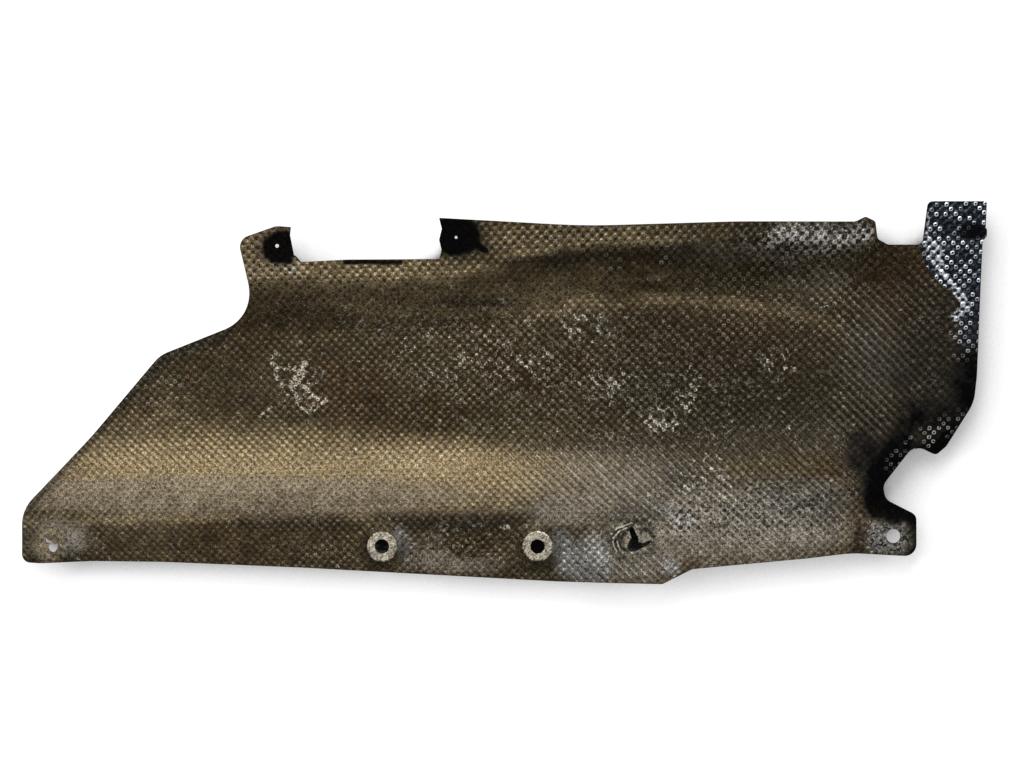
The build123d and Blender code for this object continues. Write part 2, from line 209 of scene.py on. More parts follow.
MARKS: dict[Layer, tuple[Union[Patch, Streak], ...]] = {
    # Warm, cleaner metal on the tabs and the upper lip; on the lower wall and the upper flank of bolt seat B,
    # partly cleaner metal and partly a painted highlight; over the upper wall, painted light where it lies in
    # shade; on the left flap of the torn seat, a painted highlight
    Layer.TAN: (
        Patch((215, 464), (330, 62), 0.95, 0.15, 1), Patch((480, 480), (210, 46), 0.8, 0.15),
        Patch((150, 430), (80, 50), 0.3, 0.1, -40), Patch((250, 493), (330, 25), 0.35, 0.7),
        Patch((262, 262), (56, 52), 0.82, 0.4), Patch((350, 274), (150, 26), 0.6, 0.4),
        Patch((560, 238), (150, 24), 0.3), Patch((440, 288), (220, 34), 0.5, 0.4),
        Patch((460, 302), (240, 22), 0.3, 0.4), Patch((52, 545), (24, 22), 0.7, 0.4),
        Patch((290, 548), (320, 26), 0.09, 0.6, 2), Patch((360, 315), (240, 40), 0.07, 0.5),
        Patch((361, 516), (22, 16), 0.6), Patch((425, 458), (100, 30), 0.8, 0.2),
        Patch((610, 272), (110, 16), 0.25, 0.4), Patch((150, 516), (100, 15), 0.18, 0.4),
        Patch((847, 512), (17, 38), 0.5, 0.3, -8), Patch((627, 541), (7, 10), 0.9, 0.4),
        Patch((645, 538), (9, 7), 0.95, 0.4),
        Streak(((640, 296), (720, 301), (790, 310), (840, 328)), 9, 0.38),
        Streak(((500, 256), (600, 244), (670, 240)), 6, 0.5),
    ),
    # Dusty grey metal: the apron, the foot of the lower wall and the upper right edge; right of the corner
    # seat, part of a painted highlight crescent
    Layer.GREY: (
        Patch((745, 522), (165, 52), 0.8, 0.3, -4), Patch((620, 490), (130, 56), 0.5, 0.2),
        Patch((230, 495), (310, 24), 0.4, 0.6), Patch((815, 236), (70, 22), 0.6, 0.4, 3),
        Patch((640, 552), (46, 44), 0.72), Patch((450, 564), (80, 14), 0.6, 0.2, 3),
        Patch((52, 540), (34, 30), 0.4, 0.4), Patch((78, 538), (18, 20), 0.7),
        Patch((556, 512), (40, 24), 0.55), Patch((432, 552), (26, 26), 0.4),
        Patch((822, 280), (64, 36), 0.2, 0.0), Patch((760, 252), (110, 14), 0.3, 0.4),
        Patch((808, 540), (30, 14), 0.45),
    ),
    # Bare blue-grey metal; right of bolt seat B and right of the corner seat, a painted highlight on the
    # seats' flanks
    Layer.STEEL_AND_HIGHLIGHT: (
        Patch((592, 560), (30, 34), 0.8, 0.4), Patch((573, 562), (24, 22), 0.95),
        Patch((880, 538), (20, 20), 0.9, 0.4), Patch((898, 540), (22, 28), 0.6, 0.4),
        Patch((403, 542), (12, 24), 0.6, 0.3, -15), Patch((820, 234), (56, 16), 0.4, 0.4, 3),
        Patch((562, 545), (18, 22), 0.85), Patch((70, 545), (10, 18), 0.4, 0.3, 15),
        Patch((667, 510), (12, 8), 0.7), Patch((670, 566), (14, 14), 0.7, 0.3, 30),
        Patch((885, 350), (60, 80), 0.22, 0.2, 20), Patch((800, 500), (60, 30), 0.25, 0.2),
    ),
    # Rust tints
    Layer.RUST: (
        Patch((330, 385), (110, 50), 0.4, 0.2), Patch((720, 350), (140, 60), 0.35, 0.2),
        Patch((905, 300), (50, 70), 0.5, 0.2), Patch((861, 515), (12, 40), 0.8, 0.3, -8),
        Patch((258, 256), (40, 40), 0.22),
    ),
    # Dark dirt on the flange, along the left edge and on the burnt right end; darker along the lip and foot
    # of the upper wall, on the scoop wall by the ear and at the lower left of bolt seats B and C; painted
    # shade along the crease under the lower lip and in the creases of the torn seat
    Layer.GRIME_AND_SHADE: (
        Streak(((240, 520), (330, 521), (530, 515)), 13, 0.5), Patch((750, 437), (160, 36), 0.75),
        Patch((840, 432), (50, 40), 0.6), Patch((800, 422), (120, 30), 0.6, 0.4),
        Patch((600, 442), (100, 18), 0.35, 0.4), Patch((830, 514), (36, 18), 0.5, 0.4),
        Patch((685, 476), (36, 24), 0.65), Patch((800, 494), (74, 20), 0.5, 0.4),
        Patch((636, 514), (40, 16), 0.6, 0.4), Patch((610, 538), (18, 16), 0.3),
        Patch((650, 326), (130, 26), 0.35), Patch((928, 418), (34, 22), 0.6),
        Patch((460, 522), (80, 16), 0.7), Streak(((26, 505), (118, 398), (168, 352), (222, 334)), 14, 0.8),
        Patch((950, 370), (70, 140), 0.95, 0.2, 10), Patch((900, 460), (74, 70), 0.95, 0.2, 30),
        Patch((790, 262), (70, 26), 0.3, 0.2), Patch((748, 232), (26, 16), 0.7),
        Patch((812, 225), (14, 7), 0.95), Patch((836, 226), (16, 7), 0.95), Patch((774, 226), (9, 6), 0.95),
        Patch((800, 246), (34, 7), 0.8), Patch((842, 227), (18, 9), 0.8),
        Patch((950, 420), (40, 40), 0.7, 0.2), Patch((880, 468), (44, 70), 0.8, 0.2, 12),
        Patch((868, 455), (36, 62), 0.7, 0.3, 10), Patch((925, 310), (36, 70), 0.7, 0.3, 10),
        Patch((930, 400), (50, 80), 0.6, 0.2, 15), Patch((475, 303), (80, 10), 0.7, 0.2),
        Streak(((500, 263), (600, 252), (680, 250), (770, 262)), 7, 0.4),
        Patch((720, 370), (150, 70), 0.45, 0.2), Patch((880, 350), (140, 150), 0.45, 0.2),
        Patch((700, 390), (190, 70), 0.5), Patch((910, 532), (9, 26), 0.7),
        Patch((278, 247), (32, 28), 0.7, 0.4), Patch((460, 238), (42, 32), 0.7, 0.4),
        Streak(((366, 538), (371, 558), (386, 566)), 6, 0.6),
        Streak(((522, 538), (526, 558), (540, 565)), 5, 0.5),
        Streak(((611, 540), (616, 530), (624, 525), (634, 523)), 3.2, 1.0),
        Streak(((615, 548), (616, 537), (622, 530), (630, 528)), 3.2, 1.0),
        Streak(((628, 550), (619, 548), (620, 538), (626, 532)), 3.0, 1.0),
        Streak(((640, 529), (648, 530), (653, 536)), 3.0, 0.9),
        Streak(((603, 519), (630, 521), (657, 519)), 2.5, 0.7),
    ),
    # White corrosion in lumps
    Layer.CRUST: (
        Streak(((277, 354), (270, 360), (275, 367), (287, 370), (294, 367)), 3.0, 0.85),
        Streak(((274, 371), (275, 380), (281, 385)), 3.5, 0.85),
        Streak(((303, 364), (300, 374), (294, 382)), 5.5, 0.85),
        Streak(((294, 382), (304, 388), (310, 396), (322, 400)), 3.5, 0.8),
        Streak(((290, 386), (296, 398), (301, 408), (308, 413), (316, 406), (325, 400)), 3.5, 0.85),
        Patch((300, 384), (22, 30), 0.3, 0.2, 20), Patch((505, 527), (9, 4), 0.8, 0.3, -10),
        Patch((300, 343), (6, 5), 0.5, 0.2), Patch((349, 358), (5, 6), 0.5, 0.2),
        Streak(((258, 416), (264, 412), (271, 407)), 2, 0.75),
    ),
    # White corrosion in chains that follow the embossing
    Layer.WEB: (
        Patch((620, 380), (260, 100), 0.2, 0.1, 4), Patch((588, 326), (40, 24), 0.62, 0.2, 10),
        Patch((533, 363), (34, 26), 0.7, 0.2), Patch((610, 385), (34, 26), 0.75, 0.2),
        Patch((662, 420), (26, 22), 0.95, 0.2), Patch((690, 390), (16, 38), 0.85, 0.2, 10),
        Patch((780, 364), (26, 24), 0.8, 0.2), Patch((450, 360), (120, 60), 0.35, 0.1),
        Patch((815, 236), (80, 22), 0.5, 0.2, 4), Patch((705, 478), (50, 40), 0.8, 0.1),
        Patch((300, 385), (40, 40), 0.6, 0.1),
    ),
    # One set of ridges leads over the other
    Layer.RIDGES: (
        Patch((760, 390), (330, 200), 0.5, 0.5), Patch((600, 470), (150, 60), 0.4),
        Patch((636, 566), (44, 26), 0.9, 0.4), Patch((760, 530), (120, 40), 0.5, 0.4),
    ),
    # Coarse, gritty surface
    Layer.GRIT: (
        Patch((512, 384), (900, 600), 0.15, 0.9), Patch((720, 520), (200, 60), 0.35),
        Patch((810, 240), (120, 36), 0.2), Patch((888, 538), (34, 32), 0.9, 0.4),
        Patch((460, 545), (80, 36), 0.4, 0.2), Patch((430, 305), (240, 40), 0.4),
        Patch((600, 390), (240, 100), 0.2),
    ),
    # Black specks
    Layer.SPECKS: (
        Patch((512, 384), (900, 600), 0.15, 0.9), Patch((165, 486), (34, 9), 0.9),
        Patch((300, 503), (170, 18), 0.6), Patch((750, 510), (140, 45), 0.8),
        Patch((460, 550), (80, 26), 0.7), Patch((890, 538), (40, 34), 1.0, 0.4),
        Patch((800, 240), (110, 30), 0.8), Patch((592, 556), (40, 40), 0.6),
    ),
    # Bare rings on the burnt right end
    Layer.NUBS: (
        Patch((964, 337), (20, 30), 0.85, 0.4), Patch((925, 440), (58, 15), 0.95, 0.4, -35),
        Patch((612, 262), (30, 10), 0.8), Patch((664, 262), (14, 10), 0.8),
    ),
    # Flat rings that the nuts left, and painted highlights along the creases of the torn seat
    Layer.SEAT: (
        Patch((382, 546.5), (16.5, 16.5), 1.0, 0.8), Patch((537.5, 546), (16.5, 16.5), 1.0, 0.8),
        Streak(((609, 536), (617, 528), (631, 523)), 1.7, 0.75),
        Streak(((613, 538), (619, 531), (628, 527)), 1.7, 0.6),
        Streak(((613, 541), (614, 547), (617, 551)), 1.6, 0.6),
        Streak(((617, 540), (618, 545), (620, 549)), 1.6, 0.6),
    ),
    # Shiny dark metal on the right tab
    Layer.SILVER: (
        Patch((962, 236), (48, 64), 1.0, 0.8, -10), Patch((974, 310), (22, 60), 0.9, 0.5, 5),
    ),
    # Soot
    Layer.SOOT: (
        Patch((280, 247), (22, 20), 1.0, 0.65, -10), Patch((456, 236), (31, 24), 1.0, 0.65, 10),
        Streak(((442, 222), (468, 224)), 5, 0.95), Streak(((468, 240), (485, 250)), 5, 0.95),
        Streak(((280, 258), (291, 262)), 4, 0.9), Patch((972, 231), (21, 12), 1.0, 0.5),
        Patch((890, 478), (36, 60), 0.9, 0.2, 15), Patch((864, 450), (26, 36), 0.6, 0.3, 10),
        Patch((924, 418), (42, 26), 0.5),
        Streak(((900, 444), (882, 470), (874, 492), (876, 508), (894, 514)), 18, 0.7),
        Patch((915, 380), (70, 90), 0.35, 0.2, 10), Streak(((929, 204), (925, 214), (923, 236)), 4, 1.0),
        Patch((980, 390), (46, 100), 0.85, 0.2, 8), Patch((940, 452), (70, 36), 0.9, 0.2, -35),
        Patch((905, 514), (34, 14), 0.85, 0.2, 15),
        Streak(((910, 518), (917, 526), (917, 548), (908, 556)), 6, 0.7),
        Streak(((345, 262), (400, 262)), 4, 0.95),
    ),
    # Nubs rubbed pale
    Layer.DOTS: (
        Patch((512, 384), (900, 600), 0.12, 0.9), Patch((165, 395), (50, 40), 0.5, 0.2),
        Patch((370, 276), (80, 20), 0.5, 0.2), Patch((580, 370), (240, 100), 0.2),
        Patch((770, 300), (140, 80), 0.45, 0.2), Patch((600, 238), (160, 24), 0.4),
        Patch((800, 250), (90, 20), 0.6), Patch((330, 552), (40, 14), 0.7),
        Patch((425, 464), (100, 22), 0.6),
    ),
    # Pits full of dirt
    Layer.PITS: (
        Patch((512, 384), (900, 600), 0.4, 0.9), Patch((270, 262), (60, 46), 0.8, 0.4),
        Patch((370, 274), (110, 22), 0.6, 0.4), Patch((560, 236), (150, 22), 0.75, 0.4),
        Patch((810, 238), (90, 26), 0.95, 0.5), Patch((862, 231), (20, 18), 0.95, 0.4),
        Patch((750, 510), (140, 45), 0.7), Patch((820, 500), (60, 24), 0.5),
        Patch((683, 520), (20, 24), 0.9),
    ),
    # Bright foil along the edge of the shiny metal
    Layer.FOIL: (
        Streak(((926, 212), (924, 240), (934, 258), (944, 274), (958, 292), (968, 306), (955, 318)), 6, 0.95),
        Patch((936, 250), (14, 20), 0.8, 0.2, -30),
    ),
    # Where the embossing is worn down
    Layer.RELIEF: (
        Patch((200, 540), (220, 34), 0.4, 0.5), Patch((220, 380), (120, 60), 0.4, 0.4),
        Patch((230, 496), (300, 20), 0.5, 0.4), Patch((480, 290), (200, 24), 0.3, 0.4),
        Patch((460, 525), (80, 20), 0.5, 0.4), Patch((56, 540), (36, 34), 0.8, 0.5),
        Patch((270, 250), (50, 40), 0.4, 0.4),
    ),
}


def make_active(item: Item) -> None:
    """Selects one object alone and makes it active.

    Args:
        item: the object.
    """
    bpy.ops.object.select_all(action="DESELECT")
    item.select_set(True)
    bpy.context.view_layer.objects.active = item


def read(parts: bpy.types.bpy_prop_collection, name: str, width: int = 1, kind: type = float) -> np.ndarray:
    """Reads one property of all the vertices, corners or faces of a mesh.

    Args:
        parts: the vertices, corners or faces.
        name: the property.
        width: how many numbers it has.
        kind: the type of its numbers.

    Returns:
        One number for each part, or one row where it has more.
    """
    flat = np.empty(len(parts) * width, kind)
    parts.foreach_get(name, flat)
    return flat.reshape(-1, width) if width > 1 else flat


def points_of(item: Item) -> np.ndarray:
    """Coordinates of an object's vertices, one row for each."""
    return read(item.data.vertices, "co", 3)


def move_points(item: Item, points: np.ndarray) -> None:
    """Moves an object's vertices to new coordinates, one row for each."""
    item.data.vertices.foreach_set("co", points.ravel())
    item.data.update()


def modify(item: Item, kind: str, **settings: object) -> None:
    """Adds a modifier to an object and applies it.

    Args:
        item: the object.
        kind: the modifier's type name.
        **settings: the modifier's own properties.
    """
    make_active(item)
    modifier = item.modifiers.new(kind.lower(), kind)
    for name, setting in settings.items():
        setattr(modifier, name, setting)
    bpy.ops.object.modifier_apply(modifier=modifier.name)


def pick_faces(item: Item, chosen: Callable[[np.ndarray], np.ndarray]) -> None:
    """Opens an object in edit mode with some of its faces selected.

    Args:
        item: the object.
        chosen: says from the faces' middles which ones are selected.
    """
    make_active(item)
    bpy.ops.object.mode_set(mode="EDIT")
    bpy.ops.mesh.select_mode(type="FACE")
    bpy.ops.mesh.select_all(action="DESELECT")
    shape = bmesh.from_edit_mesh(item.data)
    middles = np.array([face.calc_center_median() for face in shape.faces])
    for face, picked in zip(shape.faces, chosen(middles)):
        face.select_set(bool(picked))
    bmesh.update_edit_mesh(item.data)


def thicken(half: float) -> None:
    """Makes a flat mesh in edit mode into a closed prism.

    Args:
        half: how far the prism reaches up and down from it.
    """
    bpy.ops.mesh.select_all(action="SELECT")
    bpy.ops.transform.translate(value=(0, 0, -half))
    bpy.ops.mesh.extrude_region_move(TRANSFORM_OT_translate={"value": (0, 0, 2 * half)})
    bpy.ops.mesh.select_all(action="SELECT")
    bpy.ops.mesh.normals_make_consistent(inside=False)


class Graph:
    """A node tree under construction, with short ways to add and join nodes."""

    def __init__(self, tree: bpy.types.NodeTree) -> None:
        """Starts on a tree, which is emptied."""
        self.tree = tree
        self.tree.nodes.clear()

    def add(self, kind: str, values: dict[Union[str, int], Value], **settings: object) -> bpy.types.Node:
        """Adds one node.

        Args:
            kind: the node's type name.
            values: socket or constant for each input, by its name or number.
            **settings: the node's own properties.

        Returns:
            The new node.
        """
        node = self.tree.nodes.new(kind)
        for name, setting in settings.items():
            setattr(node, name, setting)
        for key, value in values.items():
            if isinstance(value, Socket):
                self.tree.links.new(value, node.inputs[key])
            else:
                node.inputs[key].default_value = value
        return node

    def math(self, operation: str, *values: Value, clamp: bool = False) -> Socket:
        """One sum on values, kept from 0 to 1 if it is clamped."""
        node = self.add("ShaderNodeMath", dict(enumerate(values)), operation=operation, use_clamp=clamp)
        return node.outputs[0]

    def times(self, *values: Value) -> Socket:
        """Product of values."""
        return reduce(lambda first, second: self.math("MULTIPLY", first, second), values)

    def most(self, *values: Value) -> Socket:
        """Greatest of values."""
        return reduce(lambda first, second: self.math("MAXIMUM", first, second), values)

    def rest(self, value: Socket) -> Socket:
        """What a value leaves of 1."""
        return self.math("SUBTRACT", 1.0, value)

    def vector(self, operation: str, first: Value, second: Value) -> Socket:
        """One sum on vectors, with a vector result."""
        return self.add("ShaderNodeVectorMath", {0: first, 1: second}, operation=operation).outputs["Vector"]

    def spread(self, value: Socket, taken: Pair, given: Pair, kind: str = "LINEAR") -> Socket:
        """Stretches a value from the range taken to the range given, and keeps it there."""
        values = dict(zip(("Value", "From Min", "From Max", "To Min", "To Max"), (value, *taken, *given)))
        return self.add("ShaderNodeMapRange", values, interpolation_type=kind).outputs["Result"]

    def step(self, value: Socket, start: float, stop: float) -> Socket:
        """Smooth step of a value from 0 at start to 1 at stop, which may be the lower one."""
        given = (0.0, 1.0) if start < stop else (1.0, 0.0)
        return self.spread(value, (min(start, stop), max(start, stop)), given, "SMOOTHSTEP")

    def mix(self, share: Value, first: Value, second: Value, blend: str = "MIX") -> Socket:
        """Mixes two colours.

        Args:
            share: how much of the second is taken.
            first: first colour.
            second: second colour.
            blend: how they are joined.

        Returns:
            The mixed colour.
        """
        colours = (value if isinstance(value, Socket) else (*value, 1.0) for value in (first, second))
        values = {0: share, **dict(zip((6, 7), colours))}
        return self.add("ShaderNodeMix", values, data_type="RGBA", blend_type=blend).outputs[2]

    def noise(
        self, place: Socket, size: float, detail: float, rough: float = 0.5, bend: float = 0.0
    ) -> Socket:
        """Noise round 0.5, by the width of its swells, its finer layers, their strength and its own bend."""
        values = {"Scale": 1 / size, "Detail": detail, "Roughness": rough, "Distortion": bend}
        return self.add("ShaderNodeTexNoise", {"Vector": place, **values}).outputs["Fac"]

    def bent(self, place: Socket, where: Socket, size: float, reach: float) -> Socket:
        """Moves coordinates about by noise.

        Args:
            place: the coordinates that are moved.
            where: the coordinates of the noise.
            size: how wide the swells of the noise are.
            reach: how far it moves them.

        Returns:
            The moved coordinates.
        """
        values = {"Vector": where, "Scale": 1 / size, "Detail": 1.0}
        swell = self.add("ShaderNodeTexNoise", values).outputs["Color"]
        shift = self.vector("MULTIPLY", self.vector("SUBTRACT", swell, (0.5,) * 3), (2 * reach,) * 3)
        return self.vector("ADD", place, shift)

    def attribute(self, name: str, output: str) -> Socket:
        """Value or vector that the mesh keeps under a name."""
        return self.add("ShaderNodeAttribute", {}, attribute_name=name).outputs[output]

    def mottled(self, amount: Socket, noise: Socket, spread: float) -> Socket:
        """A layer that noise makes uneven, as far as spread, where it is neither bare nor full."""
        shift = self.times(self.math("SUBTRACT", noise, 0.5), 4 * spread)
        return self.math("ADD", amount, self.times(amount, self.rest(amount), shift), clamp=True)

    def broken(self, amount: Socket, noise: Socket, spread: float, soft: float) -> Socket:
        """Mask of a layer whose edge, a step twice as wide as soft, is moved by noise as far as spread."""
        level = 0.5 + spread / 2
        return self.step(self.math("MULTIPLY_ADD", noise, spread, amount), level - soft, level + soft)


@dataclass(frozen=True)
class Embossing:
    """Pattern of the embossing rolls: two crossed waves that leave a peak and a pit in each cell.

    The pattern is stretched slightly towards the upper right, by lean in each direction for a metre.
    """

    pitch: float = 3.75 * MM
    turn: float = math.radians(46.5)
    wave: float = 0.10 * MM
    lean: Pair = (0.08, 0.40)
    coordinates: str = "lattice"

    def lattice(self, points: np.ndarray) -> np.ndarray:
        """Coordinates along the two waves, in pitches.

        Args:
            points: rows of x and y in metres, with or without more columns.

        Returns:
            Rows of u and v.
        """
        cos, sin = math.cos(self.turn), math.sin(self.turn)
        flat = points[:, :2] / (1.0 + points[:, :2] @ np.array(self.lean))[:, None]
        u = flat[:, 0] * cos + flat[:, 1] * sin
        v = flat[:, 1] * cos - flat[:, 0] * sin
        return np.stack((u, v), axis=1) / self.pitch

    def plan(self, even: np.ndarray) -> np.ndarray:
        """Where points of the even pattern lie on the stretched one, as rows of x and y in metres."""
        return even[:, :2] / (1.0 - even[:, :2] @ np.array(self.lean))[:, None]

    def height(self, points: np.ndarray) -> np.ndarray:
        """Height of the two waves together at each point, in metres."""
        return self.wave * np.sin(2 * math.pi * self.lattice(points)).sum(1)


@dataclass(frozen=True)
class Hollow:
    """A round hollow near a seat, in metres from the seat's middle."""

    depth: float
    rim: float
    floor: float
    middle: Pair = (0.0, 0.0)

    def drop(self, across: np.ndarray, up: np.ndarray) -> np.ndarray:
        """How deep the hollow is at points, by their metres across and up from the seat's middle."""
        radius = np.hypot(across - self.middle[0], up - self.middle[1])
        return self.depth * ease(radius, self.rim, self.floor)


@dataclass
class EmbossedSheet:
    """The shield itself: an embossed blank, trimmed to the outline, pressed to the form and dressed."""

    cad: Item
    sheet: Item = field(init=False)
    embossing: Embossing = field(default_factory=Embossing)
    wall_slope: float = 0.1
    least_wall: float = 0.4 * MM
    weld: float = 0.001 * MM
    least_normal: float = 1e-12
    trim_inset: float = 0.01 * MM
    slab_half: float = 100.0 * MM
    bolt_seats: tuple[Pair, ...] = ((382.0, 546.3), (537.5, 546.3), (893.0, 536.0))
    corner_seat: Pair = (53.0, 547.0)
    torn_seat: Pair = (632.0, 539.7)
    bolt_reach: float = 13.0 * MM
    torn_reach: float = 12.0 * MM
    # Distances from a seat over which each step sets in
    evened: Pair = (16.0 * MM, 22.0 * MM)
    dented: Pair = (10.0 * MM, 30.0 * MM)
    bolt_relief: Pair = (9.5 * MM, 15.0 * MM)
    torn_relief: Pair = (7.0 * MM, 14.0 * MM)
    corner_relief: Pair = (10.0 * MM, 20.0 * MM)
    # Share of the embossing left at the damaged seats, and of the marks and of grey metal on the underside
    torn_left: float = 0.25
    corner_left: float = 0.10
    under_marks: float = 0.4
    under_grey: float = 0.6
    smoothing: float = 0.5
    smooth_rounds: int = 14
    dent: float = 1.2 * MM
    dent_size: float = 48.0 * MM
    # Creases, dish and flap of the torn seat, in rings round it and on its left side
    crease: float = 0.42 * MM
    crease_pitch: float = 3.0 * MM
    crease_start: float = 6.0 * MM
    crease_inner: Pair = (4.5 * MM, 6.5 * MM)
    crease_outer: Pair = (13.5 * MM, 10.5 * MM)
    crease_side: Pair = (0.0, 5.0 * MM)
    dish: Hollow = Hollow(1.6 * MM, 9.0 * MM, 3.0 * MM)
    flap: Hollow = Hollow(1.2 * MM, 4.5 * MM, 1.5 * MM, (8.0 * MM, 2.5 * MM))
    # Ripples of the corner seat, as two crossed waves for a metre, and its hollow
    ripple: float = 0.22 * MM
    ripple_reach: Pair = (14.0 * MM, 8.0 * MM)
    ripple_first: Pair = (0.9 / MM, 0.5 / MM)
    ripple_second: Pair = (-0.35 / MM, 0.8 / MM)
    ripple_start: float = 0.6
    corner_hollow: Hollow = Hollow(1.1 * MM, 4.2 * MM, 1.0 * MM, (0.5 * MM, 3.2 * MM))

    def build(self) -> Item:
        """Makes the sheet's mesh.

        Returns:
            The finished object.
        """
        cutter = self.outline_cutter()
        self.sheet = self.lattice_blank(cutter)
        self.trim(cutter)
        self.refine()
        self.press()
        self.even_out()
        self.dent_panels()
        self.crumple()
        normals = self.face_normals()
        self.emboss()
        self.paint()
        self.close(normals)
        return self.sheet

    def is_wall(self, face: bmesh.types.BMFace) -> bool:
        """Whether a face of the solid is part of a cut edge: upright, and as high as the sheet is thick."""
        heights = [corner.co.z for corner in face.verts]
        return abs(face.normal.z) < self.wall_slope and max(heights) - min(heights) > self.least_wall

    def is_upper(self, edge: bmesh.types.BMEdge, wall: bmesh.types.BMFace) -> bool:
        """Whether an edge of a wall's triangle lies on the sheet's upper face.

        Args:
            edge: the edge.
            wall: the triangle.

        Returns:
            True where the corner opposite the edge lies under it.
        """
        opposite = next(corner for corner in wall.verts if corner not in edge.verts)
        near = min(edge.verts, key=lambda corner: (corner.co.xy - opposite.co.xy).length)
        return near.co.z > opposite.co.z

    def outline_cutter(self) -> Item:
        """Prism of the solid's own outline and holes, a hair inside its walls.

        Returns:
            The prism.
        """
        make_active(self.cad)
        bpy.ops.object.duplicate()
        cutter = bpy.context.active_object
        cutter.parent = None
        bpy.ops.object.mode_set(mode="EDIT")
        bpy.ops.mesh.select_mode(type="EDGE")
        bpy.ops.mesh.select_all(action="SELECT")
        bpy.ops.mesh.remove_doubles(threshold=self.weld)
        bpy.ops.mesh.select_all(action="SELECT")
        shape = bmesh.from_edit_mesh(cutter.data)
        walls = {face for face in shape.faces if self.is_wall(face)}
        for edge in shape.edges:
            beside = [face for face in edge.link_faces if face in walls]
            if len(beside) == 1:
                edge.select_set(not self.is_upper(edge, beside[0]))
        bmesh.update_edit_mesh(cutter.data)
        bpy.ops.mesh.delete(type="EDGE")
        bpy.ops.mesh.select_all(action="SELECT")
        bpy.ops.transform.resize(value=(1, 1, 0), center_override=(0, 0, 0))
        bpy.ops.mesh.fill(use_beauty=False)
        thicken(2 * self.slab_half)
        bpy.ops.transform.shrink_fatten(value=-self.trim_inset)
        bpy.ops.object.mode_set(mode="OBJECT")
        return cutter

    def lattice_blank(self, cutter: Item) -> Item:
        """Slab over the whole outline, whose squares follow the embossing, with a point at each peak and pit.

        Args:
            cutter: the prism that it has to cover.

        Returns:
            The slab.
        """
        step = self.embossing.pitch / 2
        reach = self.embossing.lattice(points_of(cutter)) * 2
        low = np.floor(reach.min(0)).astype(int) - 1
        high = np.ceil(reach.max(0)).astype(int) + 1
        count = high - low
        bpy.ops.object.select_all(action="DESELECT")
        bpy.ops.mesh.primitive_grid_add(x_subdivisions=int(count[0]), y_subdivisions=int(count[1]), size=1.0)
        slab = bpy.context.active_object
        slab.name = slab.data.name = PIECE
        slab.scale = (*(count * step), 1.0)
        slab.rotation_euler = (0.0, 0.0, self.embossing.turn)
        middle = Vector((*((low + high) / 2 * step), 0.0))
        middle.rotate(slab.rotation_euler)
        slab.location = middle
        bpy.ops.object.transform_apply(location=True, rotation=True, scale=True)
        pick_faces(slab, self.is_even)
        bpy.ops.mesh.poke()
        bpy.ops.object.mode_set(mode="OBJECT")
        points = points_of(slab)
        points[:, :2] = self.embossing.plan(points)
        move_points(slab, points)
        bpy.ops.object.mode_set(mode="EDIT")
        thicken(self.slab_half)
        bpy.ops.object.mode_set(mode="OBJECT")
        return slab

    def is_even(self, middles: np.ndarray) -> np.ndarray:
        """Which squares of the unstretched blank hold a peak or a pit, by their middles."""
        cells = np.floor(self.embossing.lattice(self.embossing.plan(middles)) * 2).astype(int)
        return cells.sum(1) % 2 == 0

    def trim(self, cutter: Item) -> None:
        """Cuts the slab to the outline and holes of the cutter, and removes the cutter."""
        modify(self.sheet, "BOOLEAN", operation="INTERSECT", solver="MANIFOLD", object=cutter)
        bpy.data.objects.remove(cutter)

    def refine(self) -> None:
        """Divides the upper face more finely round the seats, most at the damaged ones."""
        rounds = [(seat, self.bolt_reach, 1) for seat in self.bolt_seats]
        rounds += [(seat, self.torn_reach, 2) for seat in (self.corner_seat, self.torn_seat)]
        for seat, reach, cuts in rounds:
            pick_faces(
                self.sheet,
                lambda middles: (SCALE.distance(middles, seat) < reach)
                & (middles[:, 2] > self.slab_half / 2),
            )
            bpy.ops.mesh.subdivide(number_cuts=cuts)
            bpy.ops.object.mode_set(mode="OBJECT")

    def press(self) -> None:
        """Lays the slab's two faces on the solid's upper and lower face."""
        side = np.sign(points_of(self.sheet)[:, 2])
        for face in Face:
            self.weigh(face.name, side == face.value)
            modify(
                self.sheet, "SHRINKWRAP", target=self.cad, wrap_method="PROJECT", vertex_group=face.name,
                use_project_z=True, use_negative_direction=face is Face.UPPER,
                use_positive_direction=face is Face.LOWER,
            )
        missed = np.abs(points_of(self.sheet)[:, 2]) > self.slab_half / 2
        self.weigh("missed", missed)
        modify(
            self.sheet, "SHRINKWRAP", target=self.cad, wrap_method="NEAREST_SURFACEPOINT",
            vertex_group="missed",
        )
        log.info("%d points lie on the very edge", int(missed.sum()))

    def away(self, points: np.ndarray, seats: tuple[Pair, ...], span: Pair) -> np.ndarray:
        """Marks points from 0 near any of the seats to 1 away from them, over the span of distances."""
        return np.prod([ease(SCALE.distance(points, seat), *span) for seat in seats], axis=0)

    def even_out(self) -> None:
        """Smooths away the flats of the solid's mesh, away from its edges and seats."""
        seats = (*self.bolt_seats, self.corner_seat, self.torn_seat)
        self.weigh("open", self.openness() * self.away(points_of(self.sheet), seats, self.evened))
        modify(
            self.sheet, "SMOOTH", use_x=False, use_y=False, factor=self.smoothing,
            iterations=self.smooth_rounds, vertex_group="open",
        )

    def dent_panels(self) -> None:
        """Gives the faces the slight waviness of used sheet, and leaves the bolt seats flat."""
        self.weigh("dented", self.away(points_of(self.sheet), self.bolt_seats, self.dented))
        swell = bpy.data.textures.new("dents", "CLOUDS")
        swell.noise_scale = self.dent_size
        swell.noise_depth = 1
        modify(
            self.sheet, "DISPLACE", texture=swell, texture_coords="LOCAL", direction="Z", mid_level=0.5,
            strength=self.dent, vertex_group="dented",
        )

